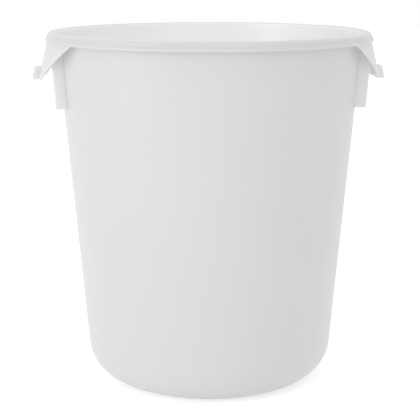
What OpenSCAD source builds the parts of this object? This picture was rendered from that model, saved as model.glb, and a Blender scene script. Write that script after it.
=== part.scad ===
// Round open tub for proofing dough, one moulding in milky polyethylene.
// The moulding is drawn as its named regions, which meet face to face.
// Origin at the middle of the underside, +Z up, the two handles on the X axis, millimetres.

/* [Tub] */
// Height from the surface it stands on to the top of the rim
tub_h = 360; // [300:1:420]
// Outer radius of the wall, carried up to the top of the rim
wall_top_r = 155.8; // [145:0.1:160]
// Lean of the wall, in degrees from upright
wall_draft = 4.85; // [3:0.05:6]
// Thickness of the wall
wall_t = 2.8; // [2:0.1:4]
// Thickness of the floor
floor_t = 3.2; // [2.4:0.1:5]
// Outer radius of the curve between floor and wall
corner_r = 38; // [25:1:50]
// Width of the flat ring that the tub stands on
foot_w = 12; // [6:1:20]
// Depth of the shallow hollow inside that ring
foot_hollow = 1.2; // [0.6:0.1:1.8]

/* [Rim] */
// Distance from the wall's outer face to the rim's upper outer edge
rim_reach = 8.7; // [7:0.1:12]
// Distance that the rim's lip stands out past its upper edge
rim_lip_out = 2.2; // [1:0.1:3]
// Height of the rim's outer face, from its top to its lower edge
rim_h = 9; // [7:0.1:12]
// Thickness of the rim's top and of its down-turned band
rim_t = 2.6; // [2:0.1:3]
// Radius of the rounded lip that a lid would snap under
rim_bead_r = 1.4; // [1:0.1:1.5]
// Radius of the rounding along the rim's inner top edge
rim_round = 1.2; // [0.5:0.1:1.3]
// Radius of the rounding along the rim's outer top edge
rim_shoulder = 3.4; // [1:0.1:4]

/* [Handles] */
// Angle that each handle covers where it leaves the rim
handle_angle = 67.6; // [56:0.1:76]
// Angle of each handle's level lower edge
grip_angle = 20; // [16:0.1:30]
// Drop from the rim's top to the handle's lower edge
handle_drop = 48; // [40:0.5:60]
// Distance that the handle flares outward from top to bottom
handle_flare = 9.4; // [6:0.1:14]
// Thickness of the handle
handle_t = 2.4; // [2:0.1:3]
// Distance that the handle's top lies in from the outside of the rim's band
handle_set_in = 0.7; // [0:0.1:1]
// Softness of the bend between the level edge and the slanting edges
edge_softness = 0.1; // [0.05:0.01:0.2]

/* [Lugs] */
// Angle that each lug covers on the outside of its handle
lug_angle = 5.4; // [4:0.1:9]
// Height of the lug
lug_h = 12.8; // [10:0.1:18]
// Distance that the lug's top stands out from the handle
lug_out = 7.3; // [5:0.1:10]
// Further distance that the lug leans out at its lower edge
lug_lean = 2.2; // [0:0.1:4]
// Thickness of the lug's walls; it is open underneath
lug_t = 2.2; // [1.6:0.1:2.6]
// Rounding of the lug's outer top edge
lug_round = 1; // [0.5:0.1:2]

/* [Ribs] */
// Angle of each rib from the middle of its handle
rib_at = 18; // [14:0.5:22]
// Thickness of a rib
rib_t = 2.8; // [2:0.1:4]
// Drop from the rim's top to the flat lower end of a rib
rib_drop = 73.3; // [60:0.1:90]
// Distance that a rib's lower end stands out from the wall
rib_out = 12.2; // [8:0.1:13]
// Lean of a rib's outer edge, in degrees from upright
rib_draft = 3.8; // [1:0.1:5]

/* [Hidden] */
$fn = 180;

plastic = [0.89, 0.89, 0.885, 0.9];
left = 180;
right = 0;
front = -1;
rear = 1;

// Arc steps of the small roundings, and steps along half of a handle's lower edge
round_steps = 6;
edge_steps = 14;
// A cutter reaches this far past what it cuts
past = 5;
// Direction on the rim's rounded lip, in degrees above level, where it leaves the rim's outer face
bead_from = 40;
// Direction on the inner curve of the corner, in degrees below level, where its two rings meet
corner_split_at = 45;

slope = tan(wall_draft);
rib_slope = tan(rib_draft);
wall_in = wall_t / cos(wall_draft);

// The fillet inside the corner follows the outer one at the wall's thickness
corner_in_r = corner_r - wall_t;
corner_in_z = floor_t + corner_in_r;
corner_top = floor_t + corner_r;
corner_split_z = corner_in_z - corner_in_r * sin(corner_split_at);
foot_r = fillet_centre(wall_r(corner_r), corner_r);
corner_in_x = fillet_centre(wall_r(corner_in_z) - wall_in, corner_in_r);

rim_under = tub_h - rim_t;
rim_bottom = tub_h - rim_h;
rim_top_r = wall_top_r + rim_reach;
rim_lip_r = rim_top_r + rim_lip_out;
band_r = rim_lip_r - rim_bead_r;

// The handle hangs from the lower edge of the rim's band
handle_top_r = band_r - handle_set_in;
handle_z = tub_h - handle_drop;
handle_run = handle_flare / (rim_bottom - handle_z);
handle_in = handle_t * sqrt(1 + handle_run * handle_run);
half_handle = handle_angle / 2;
half_grip = grip_angle / 2;

lug_top = handle_z + lug_h;
lug_top_r = handle_r(lug_top) + lug_out;
lug_bottom_r = lug_top_r + lug_lean;
lug_end_angle = atan(lug_t / lug_top_r);

rib_z = tub_h - rib_drop;
rib_foot_r = wall_r(rib_z) + rib_out;
// Height at which a rib's outer edge runs into the handle's inner face
rib_joins_z = rib_z + (handle_r(rib_z) - handle_in - rib_foot_r) / (rib_slope + handle_run);

// Outer radius of the wall at a height
function wall_r(z) = wall_top_r - (tub_h - z) * slope;

// Outer radius of a handle at a height
function handle_r(z) = handle_top_r + (rim_bottom - z) * handle_run;

// Outer radius of a rib at a height
function rib_r(z) = rib_foot_r + (z - rib_z) * rib_slope;

// Radius of the centre of a fillet that touches a wall line of the given radius at the centre's height
function fillet_centre(r_at_centre, fillet_r) = r_at_centre - fillet_r / cos(wall_draft);

// Points of an arc, from one angle to another
function arc(x, y, r, from, to, steps = round_steps) =
    [for (k = [0:steps]) let (a = from + (to - from) * k / steps) [x + r * cos(a), y + r * sin(a)]];

// Height of a handle's lower edge at an angle from its middle: level, then a soft bend, then a slant
function edge_z(a) =
    let (k = (abs(a) - half_grip) / (half_handle - half_grip))
    handle_z + (rim_bottom - handle_z) * soft(k);

// Nothing below 0, straight above it, with a soft bend between, and 1 at 1
function soft(k) = (k + sqrt(k * k + edge_softness * edge_softness) - 1 - sqrt(1 + edge_softness * edge_softness)) / 2 + 1;

// Point of the lower edge seen from the side, as distance from the middle and height
function edge_point(a) = [handle_r(edge_z(a)) * sin(a), edge_z(a)];

// Section of everything inside the tub's outer face, up to a height
module outside_section(top) {
    touch_x = foot_r + corner_r * cos(wall_draft);
    touch_z = corner_r - corner_r * sin(wall_draft);
    polygon([[0, 0], [foot_r, 0], [touch_x, touch_z], [wall_r(top), top], [0, top]]);
    translate([foot_r, corner_r]) circle(corner_r);
}

// Section of the space inside the tub, up to a height
module inside_section(top) {
    touch_x = corner_in_x + corner_in_r * cos(wall_draft);
    touch_z = corner_in_z - corner_in_r * sin(wall_draft);
    polygon([[0, floor_t], [corner_in_x, floor_t], [touch_x, touch_z], [wall_r(top) - wall_in, top], [0, top]]);
    translate([corner_in_x, corner_in_z]) circle(corner_in_r);
}

// Section of the rim: a flat top, and a band turned down from it with a rounded lip
module rim_section() {
    inner_low = wall_r(rim_under) - wall_in;
    inner_top = wall_r(tub_h) - wall_in;
    polygon(concat(
        [[inner_low, rim_under]],
        arc(inner_top + rim_round, tub_h - rim_round, rim_round, 180, 90),
        arc(rim_top_r - rim_shoulder, tub_h - rim_shoulder, rim_shoulder, 90, 0),
        arc(band_r, rim_bottom + rim_bead_r, rim_bead_r, bead_from, -90),
        [[band_r - rim_t, rim_bottom]],
        [[rim_top_r - rim_t, rim_under]]
    ));
}

// Section of a handle, a thin flaring strip
module handle_section() {
    polygon([
        [handle_r(rim_bottom), rim_bottom],
        [handle_r(handle_z), handle_z],
        [handle_r(handle_z) - handle_in, handle_z],
        [handle_r(rim_bottom) - handle_in, rim_bottom],
    ]);
}

// Section of a lug's outside: a ledge out of the handle, then a leaning outer face
module lug_outline() {
    polygon(concat(
        [[handle_r(handle_z), handle_z]],
        [[handle_r(lug_top), lug_top]],
        arc(lug_top_r - lug_round, lug_top - lug_round, lug_round, 90, 0),
        [[lug_bottom_r, handle_z]]
    ));
}

// Section of the space inside a lug, open underneath and closed by the handle at its back
module lug_space() {
    roof = lug_top - lug_t;
    run = lug_lean / lug_h;
    polygon([
        [handle_r(handle_z) - past, handle_z - past],
        [handle_r(handle_z) - past, roof],
        [lug_top_r + lug_t * run - lug_t, roof],
        [lug_bottom_r + past * run - lug_t, handle_z - past],
    ]);
}

// Turns a section through an angle, centred on a direction
module sector(direction, angle) {
    rotate([0, 0, direction - angle / 2]) rotate_extrude(angle = angle) children();
}

module floor_panel() {
    color(plastic) difference() {
        cylinder(h = floor_t, r = foot_r);
        translate([0, 0, -past]) cylinder(h = foot_hollow + past, r = foot_r - foot_w);
    }
}

// The part of the curve between floor and wall that lies between two heights
module corner_ring(low, high) {
    color(plastic) rotate_extrude() difference() {
        intersection() {
            outside_section(corner_top);
            translate([foot_r, low]) square([corner_r * 2, high - low]);
        }
        inside_section(corner_top + past);
    }
}

module lower_corner() {
    corner_ring(0, corner_split_z);
}

module upper_corner() {
    corner_ring(corner_split_z, corner_top);
}

module side_wall() {
    color(plastic) rotate_extrude() polygon([
        [wall_r(corner_top), corner_top],
        [wall_r(rim_under), rim_under],
        [wall_r(rim_under) - wall_in, rim_under],
        [wall_r(corner_top) - wall_in, corner_top],
    ]);
}

module rim() {
    color(plastic) rotate_extrude() rim_section();
}

module handle(direction) {
    color(plastic) intersection() {
        sector(direction, handle_angle + past) handle_section();
        rotate([90, 0, direction + 90]) linear_extrude(height = 2 * rim_lip_r) polygon(concat(
            [for (k = [-edge_steps:edge_steps]) edge_point(half_handle * k / edge_steps)],
            [[handle_r(rim_bottom), rim_bottom + past], [-handle_r(rim_bottom), rim_bottom + past]]
        ));
    }
}

// A small block on the outside of the handle, hollow from below
module handle_lug(direction) {
    color(plastic) difference() {
        sector(direction, lug_angle) lug_outline();
        sector(direction, lug_angle - 2 * lug_end_angle) lug_space();
    }
}

// Section of the space a rib fills: from the wall out to its own edge, the handle and the rim's band
module rib_section() {
    polygon([
        [wall_r(rib_z), rib_z],
        [rib_r(rib_z), rib_z],
        [rib_r(rib_joins_z), rib_joins_z],
        [handle_r(rim_bottom) - handle_in, rim_bottom],
        [band_r - rim_t, rim_bottom],
        [rim_top_r - rim_t, rim_under],
        [wall_r(rim_under), rim_under],
    ]);
}

// A flat upright plate that joins the wall, the rim and the handle, with a free flat foot
module rib(direction, side) {
    color(plastic) intersection() {
        sector(direction + side * rib_at, rib_at) rib_section();
        rotate([0, 0, direction + side * rib_at]) translate([0, -rib_t / 2, 0])
            cube([rim_lip_r, rib_t, tub_h]);
    }
}

floor_panel();
lower_corner();
upper_corner();
side_wall();
rim();
handle(left);  // left_handle
handle(right);  // right_handle
handle_lug(left);  // left_handle_lug
handle_lug(right);  // right_handle_lug
rib(left, -front);  // left_front_rib
rib(left, -rear);  // left_rear_rib
rib(right, front);  // right_front_rib
rib(right, rear);  // right_rear_rib
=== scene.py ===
"""Dresses the round dough proofing tub in milky polyethylene and sets it on a pale studio floor."""
import logging
import math
from dataclasses import dataclass
from enum import Enum, IntEnum

import bmesh
import bpy
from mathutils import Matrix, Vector


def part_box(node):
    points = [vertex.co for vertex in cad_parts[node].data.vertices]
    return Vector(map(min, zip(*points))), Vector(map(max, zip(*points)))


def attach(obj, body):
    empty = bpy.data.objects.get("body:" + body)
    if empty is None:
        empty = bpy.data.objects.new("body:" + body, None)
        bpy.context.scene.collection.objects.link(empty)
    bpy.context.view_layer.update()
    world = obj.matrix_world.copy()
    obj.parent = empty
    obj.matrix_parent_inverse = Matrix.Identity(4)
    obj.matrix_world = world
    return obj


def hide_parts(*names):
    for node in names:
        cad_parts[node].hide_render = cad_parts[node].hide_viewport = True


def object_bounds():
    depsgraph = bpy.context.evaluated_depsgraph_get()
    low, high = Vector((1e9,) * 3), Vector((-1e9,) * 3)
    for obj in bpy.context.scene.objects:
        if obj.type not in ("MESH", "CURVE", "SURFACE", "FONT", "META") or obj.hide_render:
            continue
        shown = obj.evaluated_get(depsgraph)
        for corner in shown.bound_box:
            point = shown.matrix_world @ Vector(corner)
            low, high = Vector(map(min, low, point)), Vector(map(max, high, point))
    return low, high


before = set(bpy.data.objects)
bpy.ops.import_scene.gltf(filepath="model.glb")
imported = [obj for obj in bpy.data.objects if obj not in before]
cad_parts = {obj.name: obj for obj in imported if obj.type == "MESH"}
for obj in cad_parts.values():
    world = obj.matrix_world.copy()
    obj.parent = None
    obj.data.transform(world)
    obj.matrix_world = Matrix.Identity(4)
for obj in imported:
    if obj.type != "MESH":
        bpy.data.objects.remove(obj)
cad_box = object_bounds()

log = logging.getLogger("dough_tub")

MM = 0.001

Point = tuple[float, float]
Triple = tuple[float, float, float]


class Side(Enum):
    """The side of the tub that a handle is on, as its direction round the axis in degrees."""

    LEFT = 180.0
    RIGHT = 0.0

    @property
    def word(self) -> str:
        """The side as the nodes' names say it."""
        return self.name.lower()


class Across(Enum):
    """Which of a handle's two ribs is meant, as the nodes' names say it."""

    FRONT = "front"
    REAR = "rear"


class Skin(IntEnum):
    """A region of the shell, as its place among the shell's materials: the rim's material is a darker copy
    as painted shade and the inside's a paler copy as painted light.
    """

    WALL = 0
    RIM = 1
    INSIDE = 2


def arc(x: float, z: float, radius: float, start: float, end: float, steps: int) -> list[Point]:
    """Points of an arc in the section plane.

    Args:
        x: Distance of the arc's centre from the tub's axis.
        z: Height of the arc's centre.
        radius: Radius of the arc.
        start: First direction, in degrees above level.
        end: Last direction, in degrees above level.
        steps: Number of steps along the arc.

    Returns:
        The points from start to end.
    """
    turns = [math.radians(start + (end - start) * k / steps) for k in range(steps + 1)]
    return [(x + radius * math.cos(a), z + radius * math.sin(a)) for a in turns]


def line(first: Point, last: Point, steps: int) -> list[Point]:
    """Points along a straight line, both ends left out.

    Args:
        first: The line's first end.
        last: The line's last end.
        steps: Number of steps along the line.

    Returns:
        The points between the two ends.
    """
    shares = [k / steps for k in range(1, steps)]
    return [(first[0] + (last[0] - first[0]) * s, first[1] + (last[1] - first[1]) * s) for s in shares]


def object_from(name: str, mesh_builder: bmesh.types.BMesh, sharp: float = 40.0) -> bpy.types.Object:
    """Turns a finished bmesh into a smooth-shaded object in the scene.

    Args:
        name: Name of the piece.
        mesh_builder: The geometry, which is freed here.
        sharp: Angle in degrees past which an edge stays sharp.

    Returns:
        The new object.
    """
    bmesh.ops.recalc_face_normals(mesh_builder, faces=mesh_builder.faces)
    mesh = bpy.data.meshes.new(name)
    mesh_builder.to_mesh(mesh)
    mesh_builder.free()
    mesh.shade_smooth()
    mesh.set_sharp_from_angle(angle=math.radians(sharp))
    piece = bpy.data.objects.new(name, mesh)
    bpy.context.scene.collection.objects.link(piece)
    return piece


@dataclass(frozen=True)
class TubSizes:
    """The sizes that the tub's pieces share, in metres, read from the frame where its boxes give them."""

    height: float
    rim_under: float
    rim_bottom: float
    rim_lip_r: float
    wall_high_r: float
    wall_slope: float
    corner_top: float
    floor_t: float
    foot_r: float
    wall_t: float = 2.8 * MM
    foot_w: float = 12 * MM
    foot_hollow: float = 1.2 * MM
    rim_lip_out: float = 2.2 * MM
    rim_t: float = 2.6 * MM
    rim_bead_r: float = 1.4 * MM
    rim_round: float = 1.2 * MM
    rim_shoulder: float = 3.4 * MM

    @classmethod
    def from_frame(cls) -> "TubSizes":
        """Reads the sizes that the boxes of the frame's nodes give.

        Returns:
            The tub's sizes.
        """
        wall_low, wall_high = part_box("side_wall")
        rim_low, rim_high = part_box("rim")
        floor_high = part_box("floor_panel")[1]
        corner_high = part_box("upper_corner")[1]
        rise = wall_high.z - wall_low.z
        return cls(
            height=rim_high.z,
            rim_under=wall_high.z,
            rim_bottom=rim_low.z,
            rim_lip_r=rim_high.x,
            wall_high_r=wall_high.x,
            wall_slope=(wall_high.x - corner_high.x) / rise,
            corner_top=corner_high.z,
            floor_t=floor_high.z,
            foot_r=floor_high.x,
        )

    @property
    def draft(self) -> float:
        """Lean of the wall from upright, in degrees."""
        return math.degrees(math.atan(self.wall_slope))

    @property
    def corner_r(self) -> float:
        """Radius of the outside of the large curve between floor and wall."""
        return self.corner_top - self.floor_t

    @property
    def wall_across(self) -> float:
        """Level distance from the wall's outer face to its inner one."""
        return self.wall_t / math.cos(math.radians(self.draft))

    @property
    def rim_top_r(self) -> float:
        """Radius of the rim's outer face where its shoulder ends."""
        return self.rim_lip_r - self.rim_lip_out

    @property
    def band_r(self) -> float:
        """Radius of the rim's band at its lower edge, without the rounded lip."""
        return self.rim_lip_r - self.rim_bead_r

    def wall_r(self, z: float) -> float:
        """Outer radius of the wall at a height."""
        return self.wall_high_r - (self.rim_under - z) * self.wall_slope

    def inner_r(self, z: float) -> float:
        """Inner radius of the wall at a height."""
        return self.wall_r(z) - self.wall_across


@dataclass
class TubShell:
    """Floor, corner, wall and rim as one seamless turned skin, as the mould makes them."""

    sizes: TubSizes
    around: int = 240
    corner_steps: int = 28
    wall_steps: int = 24
    small_steps: int = 8
    foot_round: float = 0.6 * MM
    fillet: float = 0.9 * MM
    lip_end: float = 40.0

    @property
    def few_steps(self) -> int:
        """Number of steps along the smallest roundings."""
        return self.small_steps // 2

    def outside(self) -> list[Point]:
        """Draws the outside: the hollow, the foot ring, the corner and the wall, up to the rim's underside.

        Returns:
            The section's points, from the middle of the underside outwards and up.
        """
        s = self.sizes
        middle = (0.0, s.foot_hollow)
        inner_foot = s.foot_r - s.foot_w
        step_top = (inner_foot, s.foot_hollow)
        points = [middle] + line(middle, step_top, self.small_steps) + [step_top]
        step_x = inner_foot + self.foot_round
        points += arc(step_x, self.foot_round, self.foot_round, 180, 270, self.few_steps)
        points += arc(s.foot_r, s.corner_r, s.corner_r, -90, -s.draft, self.corner_steps)
        joint_z = s.rim_under - self.fillet
        top = (s.wall_r(joint_z), joint_z)
        points += line(points[-1], top, self.wall_steps) + [top]
        fillet_x = s.wall_r(s.rim_under) + self.fillet
        points += arc(fillet_x, joint_z, self.fillet, 180, 90, self.few_steps)
        return points

    def rim(self) -> list[Point]:
        """Draws the rim: its underside, the band, the rounded lip, the shoulder and the flat top.

        Returns:
            The section's points, from the underside outwards, over the top and in to the wall's inner face.
        """
        s = self.sizes
        fillet_x = s.rim_top_r - s.rim_t - self.fillet
        points = arc(fillet_x, s.rim_under - self.fillet, self.fillet, 90, 0, self.few_steps)
        points += [(s.band_r - s.rim_t, s.rim_bottom)]
        lip_z = s.rim_bottom + s.rim_bead_r
        points += arc(s.band_r, lip_z, s.rim_bead_r, -90, self.lip_end, self.small_steps)
        shoulder_x, shoulder_z = s.rim_top_r - s.rim_shoulder, s.height - s.rim_shoulder
        points += arc(shoulder_x, shoulder_z, s.rim_shoulder, 0, 90, self.small_steps)
        inner_top = s.inner_r(s.height) + s.rim_round
        points += arc(inner_top, s.height - s.rim_round, s.rim_round, 90, 180, self.small_steps)
        return points

    def inside(self) -> list[Point]:
        """Draws the inside, from below the rim down to the middle of the floor.

        Returns:
            The section's points, from the wall down and inwards.
        """
        s = self.sizes
        inner_corner_r = s.corner_r - s.wall_t
        centre_z = s.floor_t + inner_corner_r
        centre_x = s.inner_r(centre_z) - inner_corner_r / math.cos(math.radians(s.draft))
        corner = arc(centre_x, centre_z, inner_corner_r, -s.draft, -90, self.corner_steps)
        middle = (0.0, s.floor_t)
        points = line((s.inner_r(s.rim_under), s.rim_under), corner[0], self.wall_steps) + corner
        points += line((centre_x, s.floor_t), middle, self.small_steps) + [middle]
        return points

    def build(self) -> bpy.types.Object:
        """Turns the section round the axis into one closed skin.

        Returns:
            The tub's shell.
        """
        outside, rim, inside = self.outside(), self.rim(), self.inside()
        section = outside + rim + inside
        first_rim_row = len(outside) - 1
        # The inside's paler material, painted light, starts partway down the rim's last rounding.
        first_inside_row = first_rim_row + len(rim) - self.few_steps
        skin = bmesh.new()
        first = skin.verts.new((0.0, 0.0, section[0][1]))
        last = skin.verts.new((0.0, 0.0, section[-1][1]))
        turns = [2 * math.pi * k / self.around for k in range(self.around)]
        rings = [
            [skin.verts.new((radius * math.cos(a), radius * math.sin(a), z)) for a in turns]
            for radius, z in section[1:-1]
        ]
        for row, (near, far) in enumerate(zip(rings, rings[1:])):
            finish = Skin.INSIDE
            if row < first_rim_row:
                finish = Skin.WALL
            elif row < first_inside_row:
                finish = Skin.RIM
            for k in range(self.around):
                n = (k + 1) % self.around
                skin.faces.new((near[k], near[n], far[n], far[k])).material_index = finish
        for pole, ring, finish in ((first, rings[0], Skin.WALL), (last, rings[-1], Skin.INSIDE)):
            for k in range(self.around):
                n = (k + 1) % self.around
                skin.faces.new((pole, ring[k], ring[n])).material_index = finish
        return object_from("tub_shell", skin)


@dataclass
class HandleApron:
    """The flared skirt of one handle, hanging from the rim's band, with a rounded lower edge.

    It starts set_in inside the band's face and into_band above the band's lower edge, so no gap shows there.
    The bend in its lower edge is softened over a share of the slanted run, which is softness.
    """

    sizes: TubSizes
    side: Side
    handle_angle: float = 67.6
    grip_angle: float = 20.0
    handle_t: float = 2.4 * MM
    set_in: float = 0.7 * MM
    softness: float = 0.1
    into_band: float = 2.2 * MM
    columns: int = 120
    rows: int = 10
    edge_steps: int = 8

    @property
    def low_z(self) -> float:
        """Height of the handle's level lower edge."""
        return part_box(f"{self.side.word}_handle")[0].z

    @property
    def flare_run(self) -> float:
        """Outward run of the handle for each unit of drop, from the frame's box of the handle.

        Returns:
            The run, as a share of the drop.
        """
        low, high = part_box(f"{self.side.word}_handle")
        reach = max(abs(low.x), abs(high.x))
        return (reach - self.top_r) / (self.sizes.rim_bottom - self.low_z)

    @property
    def top_r(self) -> float:
        """Outer radius of the handle where it leaves the rim's band."""
        return self.sizes.band_r - self.set_in

    def outer_r(self, z: float) -> float:
        """Outer radius of the handle at a height."""
        return self.top_r + (self.sizes.rim_bottom - z) * self.flare_run

    def edge_z(self, angle: float) -> float:
        """Height of the lower edge at an angle from the handle's middle: level, a soft bend, then a slant.

        Args:
            angle: Angle from the handle's middle, in degrees.

        Returns:
            The height of the edge.
        """
        half, grip = self.handle_angle / 2, self.grip_angle / 2
        slant = (abs(angle) - grip) / (half - grip)
        bend_at_end = math.hypot(1, self.softness)
        share = (slant + math.hypot(slant, self.softness) - 1 - bend_at_end) / 2 + 1
        return self.low_z + (self.sizes.rim_bottom - self.low_z) * share

    def column(self, angle: float) -> list[Point]:
        """Section of the handle at an angle: down the outer face, round the edge and up the inner face.

        Args:
            angle: Angle from the handle's middle, in degrees.

        Returns:
            The points of the closed section.
        """
        lean = math.atan(self.flare_run)
        half_t = self.handle_t / 2
        top_z = self.sizes.rim_bottom + self.into_band
        centre_z = self.edge_z(angle) + half_t
        centre_r = self.outer_r(centre_z) - half_t / math.cos(lean)
        tip = [math.radians(180 * k / self.edge_steps) for k in range(self.edge_steps + 1)]
        across, down = (math.cos(lean), math.sin(lean)), (math.sin(lean), -math.cos(lean))
        edge = [
            (
                centre_r + half_t * (math.cos(a) * across[0] + math.sin(a) * down[0]),
                centre_z + half_t * (math.cos(a) * across[1] + math.sin(a) * down[1]),
            )
            for a in tip
        ]
        thick = self.handle_t / math.cos(lean)
        outer_top = (self.outer_r(top_z), top_z)
        inner_top = (self.outer_r(top_z) - thick, top_z)
        outer = [outer_top] + line(outer_top, edge[0], self.rows)
        inner = line(edge[-1], inner_top, self.rows) + [inner_top]
        return outer + edge + inner

    def build(self) -> bpy.types.Object:
        """Joins the columns into one closed skin.

        Returns:
            The handle's apron.
        """
        skin = bmesh.new()
        rings = []
        for k in range(self.columns + 1):
            angle = self.handle_angle * (k / self.columns - 0.5)
            turn = math.radians(self.side.value + angle)
            across = (math.cos(turn), math.sin(turn))
            rings.append([skin.verts.new((r * across[0], r * across[1], z)) for r, z in self.column(angle)])
        for left, right in zip(rings, rings[1:]):
            count = len(left)
            for k in range(count):
                n = (k + 1) % count
                skin.faces.new((left[k], left[n], right[n], right[k]))
        skin.faces.new(rings[0])
        skin.faces.new(list(reversed(rings[-1])))
        return object_from(f"{self.side.word}_handle_apron", skin)


def math_node(
    tree: bpy.types.NodeTree, kind: str, *values: float | bpy.types.NodeSocket
) -> bpy.types.NodeSocket:
    """Adds a math node with its inputs linked or set.

    Args:
        tree: The node tree that it goes into.
        kind: Its operation.
        *values: A number or a socket for each input.

    Returns:
        The node's output.
    """
    node = tree.nodes.new("ShaderNodeMath")
    node.operation = kind
    for socket, value in zip(node.inputs, values):
        if isinstance(value, bpy.types.NodeSocket):
            tree.links.new(value, socket)
        else:
            socket.default_value = value
    return node.outputs[0]


@dataclass(frozen=True)
class MouldingMarks:
    """Marks that a moulded skin shows: a cloudy drift, a fine grain and faint upright streaks."""

    cloud_scale: float = 9.0
    cloud_detail: float = 3.0
    streak_scale: float = 38.0
    streak_detail: float = 4.0
    streak_stretch: float = 0.12
    grain_detail: float = 2.0
    middle: float = 0.5
    streak_in_colour: float = 0.35
    streak_in_roughness: float = 0.16
    cloud_in_roughness: float = 0.10
    streak_in_height: float = 0.5

    def group(self) -> bpy.types.NodeTree:
        """Builds the group that every finish of the tub uses.

        Returns:
            The node group, with Colour, Roughness and Height outputs.
        """
        group = bpy.data.node_groups.new("moulding_marks", "ShaderNodeTree")
        face = group.interface
        for name, kind in (
            ("Colour", "NodeSocketColor"),
            ("Drift", "NodeSocketFloat"),
            ("Roughness", "NodeSocketFloat"),
            ("Grain Scale", "NodeSocketFloat"),
        ):
            face.new_socket(name=name, in_out="INPUT", socket_type=kind)
        for name, kind in (
            ("Colour", "NodeSocketColor"),
            ("Roughness", "NodeSocketFloat"),
            ("Height", "NodeSocketFloat"),
        ):
            face.new_socket(name=name, in_out="OUTPUT", socket_type=kind)
        nodes, links = group.nodes, group.links
        inputs, outputs = nodes.new("NodeGroupInput"), nodes.new("NodeGroupOutput")
        place = nodes.new("ShaderNodeTexCoord")
        streak_map = nodes.new("ShaderNodeMapping")
        streak_map.inputs["Scale"].default_value = (1.0, 1.0, self.streak_stretch)
        links.new(place.outputs["Object"], streak_map.inputs["Vector"])

        def noise(
            scale: float | bpy.types.NodeSocket, detail: float, vector: bpy.types.NodeSocket
        ) -> bpy.types.NodeSocket:
            """Adds a noise texture.

            Args:
                scale: Its scale, as a number or a socket.
                detail: Its detail.
                vector: The coordinates that it is laid on.

            Returns:
                The noise, from 0 to 1.
            """
            node = nodes.new("ShaderNodeTexNoise")
            node.inputs["Detail"].default_value = detail
            links.new(vector, node.inputs["Vector"])
            if isinstance(scale, bpy.types.NodeSocket):
                links.new(scale, node.inputs["Scale"])
            else:
                node.inputs["Scale"].default_value = scale
            return node.outputs["Fac"]

        cloud = noise(self.cloud_scale, self.cloud_detail, place.outputs["Object"])
        streak = noise(self.streak_scale, self.streak_detail, streak_map.outputs["Vector"])
        grain = noise(inputs.outputs["Grain Scale"], self.grain_detail, place.outputs["Object"])

        cloudy = math_node(group, "SUBTRACT", cloud, self.middle)
        streaky = math_node(group, "SUBTRACT", streak, self.middle)
        shade = math_node(group, "MULTIPLY_ADD", streaky, self.streak_in_colour, cloudy)
        shade = math_node(group, "MULTIPLY_ADD", shade, inputs.outputs["Drift"], 1.0)
        tint = nodes.new("ShaderNodeVectorMath")
        tint.operation = "SCALE"
        links.new(inputs.outputs["Colour"], tint.inputs["Vector"])
        links.new(shade, tint.inputs["Scale"])
        links.new(tint.outputs["Vector"], outputs.inputs["Colour"])

        roughness = inputs.outputs["Roughness"]
        rough = math_node(group, "MULTIPLY_ADD", streaky, self.streak_in_roughness, roughness)
        rough = math_node(group, "MULTIPLY_ADD", cloudy, self.cloud_in_roughness, rough)
        links.new(rough, outputs.inputs["Roughness"])

        height = math_node(group, "MULTIPLY_ADD", streak, self.streak_in_height, grain)
        links.new(height, outputs.inputs["Height"])
        return group


@dataclass(frozen=True)
class MilkyPlastic:
    """Finish of the moulded polyethylene: milky, with a satin skin that light soaks into.

    A faint even glow, passed_light, stands in for the light that comes through the thin wall.
    """

    name: str
    colour: Triple = (0.57, 0.57, 0.569)
    roughness: float = 0.42
    scatter: float = 0.7
    depth: float = 9 * MM
    spread: Triple = (1.0, 1.0, 0.96)
    index: float = 1.51
    passed_light: float = 0.12
    passed_colour: Triple = (1.0, 1.0, 0.997)
    drift: float = 0.035
    grain_scale: float = 420.0
    texture: float = 0.12
    texture_depth: float = 0.2 * MM

    def make(self, skin: bpy.types.NodeTree) -> bpy.types.Material:
        """Builds the material round the shared group.

        Args:
            skin: The group of the moulding's marks.

        Returns:
            The material.
        """
        material = bpy.data.materials.new(self.name)
        material.use_nodes = True
        nodes, links = material.node_tree.nodes, material.node_tree.links
        shader = nodes["Principled BSDF"]
        marks = nodes.new("ShaderNodeGroup")
        marks.node_tree = skin
        marks.inputs["Colour"].default_value = (*self.colour, 1.0)
        marks.inputs["Drift"].default_value = self.drift
        marks.inputs["Roughness"].default_value = self.roughness
        marks.inputs["Grain Scale"].default_value = self.grain_scale
        links.new(marks.outputs["Colour"], shader.inputs["Base Color"])
        links.new(marks.outputs["Roughness"], shader.inputs["Roughness"])
        bump = nodes.new("ShaderNodeBump")
        bump.inputs["Strength"].default_value = self.texture
        bump.inputs["Distance"].default_value = self.texture_depth
        links.new(marks.outputs["Height"], bump.inputs["Height"])
        links.new(bump.outputs["Normal"], shader.inputs["Normal"])
        shader.inputs["IOR"].default_value = self.index
        shader.inputs["Subsurface Weight"].default_value = self.scatter
        shader.inputs["Subsurface Radius"].default_value = self.spread
        shader.inputs["Subsurface Scale"].default_value = self.depth
        shader.inputs["Emission Color"].default_value = (*self.passed_colour, 1.0)
        shader.inputs["Emission Strength"].default_value = self.passed_light
        return material


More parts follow.
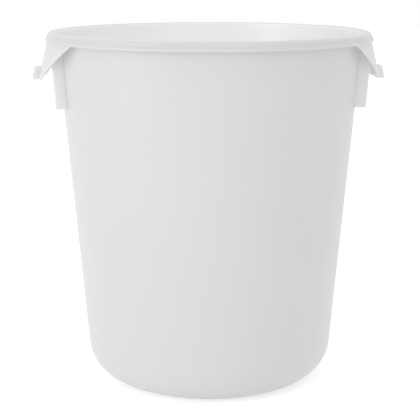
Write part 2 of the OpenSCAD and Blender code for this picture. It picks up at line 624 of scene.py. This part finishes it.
@dataclass
class ProofingTub:
    """The whole tub, turned shell, aprons, lugs and ribs, and the finish of each; the rim, inside, aprons,
    lugs and ribs are darker or paler copies of the wall's plastic, as painted shade and painted light.
    """

    sizes: TubSizes
    wall: MilkyPlastic = MilkyPlastic("milky_wall")
    # The rim is a darker copy of the same plastic: painted shade on the band under the lip.
    rim: MilkyPlastic = MilkyPlastic("milky_rim_painted_shade", (0.53, 0.53, 0.529), roughness=0.36)
    # The inside is a paler copy of the same plastic: painted light on the open interior.
    inside: MilkyPlastic = MilkyPlastic("milky_inside_painted_light", (0.77, 0.77, 0.768), roughness=0.36)
    # The apron is a paler copy than the wall, painted light standing in for light through the thin skirt,
    # and darker than the lugs and ribs as painted shade.
    apron: MilkyPlastic = MilkyPlastic("milky_apron_painted_light_and_shade", (0.6, 0.6, 0.599), roughness=0.38)
    # The lugs and ribs are a paler copy of the same plastic: painted light that offsets the shade in the
    # creases beside the wall.
    handle: MilkyPlastic = MilkyPlastic("milky_handle", (0.66, 0.66, 0.659), roughness=0.38)

    def dress(self, piece: bpy.types.Object, *finishes: bpy.types.Material) -> None:
        """Gives a piece its materials and nothing else.

        Args:
            piece: The piece, new or a node of the frame.
            *finishes: Its materials. With more than one, the faces' material indices choose.
        """
        choices = [face.material_index for face in piece.data.polygons]
        piece.data.materials.clear()
        for finish in finishes:
            piece.data.materials.append(finish)
        if len(finishes) > 1:
            piece.data.polygons.foreach_set("material_index", choices)

    def build_shell(self, marks: bpy.types.NodeTree) -> None:
        """Builds the shell, in place of floor, corner, wall and rim.

        Args:
            marks: The group of the moulding's marks.
        """
        shell = TubShell(self.sizes).build()
        self.dress(shell, self.wall.make(marks), self.rim.make(marks), self.inside.make(marks))
        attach(shell, "root")
        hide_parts("floor_panel", "lower_corner", "upper_corner", "side_wall", "rim")
        log.info("tub shell: %d faces", len(shell.data.polygons))

    def build_handles(self, marks: bpy.types.NodeTree) -> None:
        """Builds the aprons in place of the handles, and dresses the lugs and ribs.

        Args:
            marks: The group of the moulding's marks.
        """
        apron_plastic, handle_plastic = self.apron.make(marks), self.handle.make(marks)
        for side in Side:
            apron = HandleApron(self.sizes, side).build()
            self.dress(apron, apron_plastic)
            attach(apron, "root")
            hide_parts(f"{side.word}_handle")
            log.info("%s handle apron: %d faces", side.word, len(apron.data.polygons))
            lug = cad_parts[f"{side.word}_handle_lug"]
            ribs = [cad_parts[f"{side.word}_{across.value}_rib"] for across in Across]
            for piece in (lug, *ribs):
                self.dress(piece, handle_plastic)
                log.info("%s: dressed", piece.name)

    def build(self) -> None:
        """Builds each piece, puts it on the tub's body and hides the nodes that it stands for."""
        marks = MouldingMarks().group()
        self.build_shell(marks)
        self.build_handles(marks)


@dataclass(frozen=True)
class Lamp:
    """One square soft lamp: its name, its place and the side of its face in metres, and its power."""

    name: str
    place: Triple
    side: float
    watts: float

    def hang(self, aim: Vector) -> None:
        """Hangs the lamp so that it faces a point.

        Args:
            aim: The point, in metres.
        """
        data = bpy.data.lights.new(self.name, "AREA")
        data.shape = "SQUARE"
        data.size = self.side
        data.energy = self.watts
        lamp = bpy.data.objects.new(self.name, data)
        lamp.location = self.place
        lamp.rotation_euler = (aim - lamp.location).to_track_quat("-Z", "Y").to_euler()
        bpy.context.scene.collection.objects.link(lamp)


@dataclass
class Studio:
    """Pale floor, soft lamps and the camera at the photograph's viewing angle."""

    picture_side: float = 420.0
    focal_pixels: float = 1165.9
    centre_x_pixels: float = 209.36
    distance: float = 1.2013
    eye_height: float = 0.4334
    look_down: float = 12.24
    tub_turn: float = 3.08
    sensor: float = 36.0
    surround: float = 0.67
    white: float = 1.0
    floor_side: float = 12.0
    floor_tone: Triple = (0.92, 0.92, 0.92)
    floor_roughness: float = 0.9
    floor_glow: float = 0.42
    lamps: tuple[Lamp, ...] = (
        Lamp("key_lamp", (-1.9, -1.2, 0.6), side=1.0, watts=12.0),
        Lamp("top_lamp", (0.2, -0.5, 2.0), side=1.2, watts=4.0),
        Lamp("fill_lamp", (0.6, -2.0, 0.9), side=1.2, watts=5.0),
    )

    def camera(self) -> None:
        """Sets the camera where the photograph was taken from."""
        data = bpy.data.cameras.new("camera")
        data.sensor_width = self.sensor
        data.lens = self.focal_pixels * self.sensor / self.picture_side
        data.shift_x = (self.picture_side / 2 - self.centre_x_pixels) / self.picture_side
        turn = math.radians(self.tub_turn)
        across, back = self.distance * math.sin(turn), self.distance * math.cos(turn)
        camera = bpy.data.objects.new("camera", data)
        camera.location = (-across, -back, self.eye_height)
        camera.rotation_euler = (math.radians(90 - self.look_down), 0.0, -turn)
        bpy.context.scene.collection.objects.link(camera)
        bpy.context.scene.camera = camera

    def white_for_camera(self, tree: bpy.types.NodeTree) -> bpy.types.NodeSocket:
        """Builds a mask that is 1 for what the camera sees directly, in gloss or through the plastic.

        Args:
            tree: The node tree that it is built in.

        Returns:
            The mask's socket.
        """
        path = tree.nodes.new("ShaderNodeLightPath")
        seen = path.outputs["Is Camera Ray"]
        for name in ("Is Glossy Ray", "Is Transmission Ray"):
            seen = math_node(tree, "MAXIMUM", seen, path.outputs[name])
        return seen

    def world(self) -> None:
        """Builds a soft even surround that shows as plain white behind the tub."""
        world = bpy.data.worlds.new("surround")
        bpy.context.scene.world = world
        world.use_nodes = True
        tree = world.node_tree
        back = tree.nodes["Background"]
        back.inputs["Color"].default_value = (self.white, self.white, self.white, 1.0)
        level = tree.nodes.new("ShaderNodeMix")
        level.inputs["A"].default_value = self.surround
        level.inputs["B"].default_value = self.white
        tree.links.new(self.white_for_camera(tree), level.inputs["Factor"])
        tree.links.new(level.outputs["Result"], back.inputs["Strength"])

    def floor(self) -> None:
        """Builds a wide pale floor that keeps the tub's soft shadow."""
        half = self.floor_side / 2
        corners = ((-half, -half), (half, -half), (half, half), (-half, half))
        ground = bmesh.new()
        ground.faces.new([ground.verts.new((x, y, 0.0)) for x, y in corners])
        floor = object_from("floor", ground)
        material = bpy.data.materials.new("pale_floor")
        material.use_nodes = True
        tree = material.node_tree
        shader = tree.nodes["Principled BSDF"]
        shader.inputs["Base Color"].default_value = (*self.floor_tone, 1.0)
        shader.inputs["Roughness"].default_value = self.floor_roughness
        shader.inputs["Emission Color"].default_value = (self.white, self.white, self.white, 1.0)
        glow = math_node(tree, "MULTIPLY", self.white_for_camera(tree), self.floor_glow)
        tree.links.new(glow, shader.inputs["Emission Strength"])
        floor.data.materials.append(material)

    def build(self) -> None:
        """Sets up the camera, the lamps, the surround and the floor."""
        bpy.context.scene.view_settings.view_transform = "Standard"
        self.camera()
        middle = (cad_box[0] + cad_box[1]) / 2
        for lamp in self.lamps:
            lamp.hang(middle)
        self.world()
        self.floor()
        log.info("studio: camera, %d lamps, surround and floor", len(self.lamps))


def main() -> None:
    """Builds the tub and the studio in order."""
    logging.basicConfig(level=logging.INFO, format="%(name)s: %(message)s")
    Studio().build()
    ProofingTub(TubSizes.from_frame()).build()


if __name__ == "__main__":
    main()
